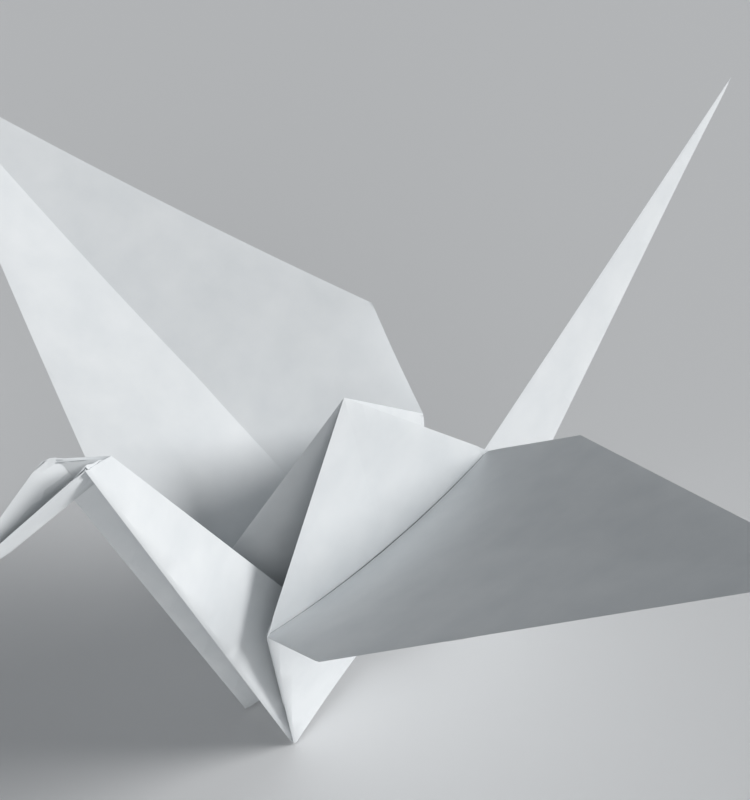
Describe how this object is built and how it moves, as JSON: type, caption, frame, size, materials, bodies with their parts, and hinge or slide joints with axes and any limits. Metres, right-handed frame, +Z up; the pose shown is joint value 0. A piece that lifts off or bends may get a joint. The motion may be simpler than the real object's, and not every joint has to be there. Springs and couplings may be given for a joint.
{
  "type": "origami crane",
  "caption": "White paper crane folded from one square sheet, with raised wings, a bent head and an upright tail, standing on four folded feet.",
  "frame": {"origin": "on the ground, midway between the four feet, below the hat's top", "axes": "+Z up, +X from the neck towards the tail, -Y towards the near wing of the picture"},
  "size_m": [0.1158, 0.1125, 0.0556],
  "materials": {
    "paper": "matte"
  },
  "bodies": {
    "root": {"crane": "paper"}
  },
  "joints": []
}
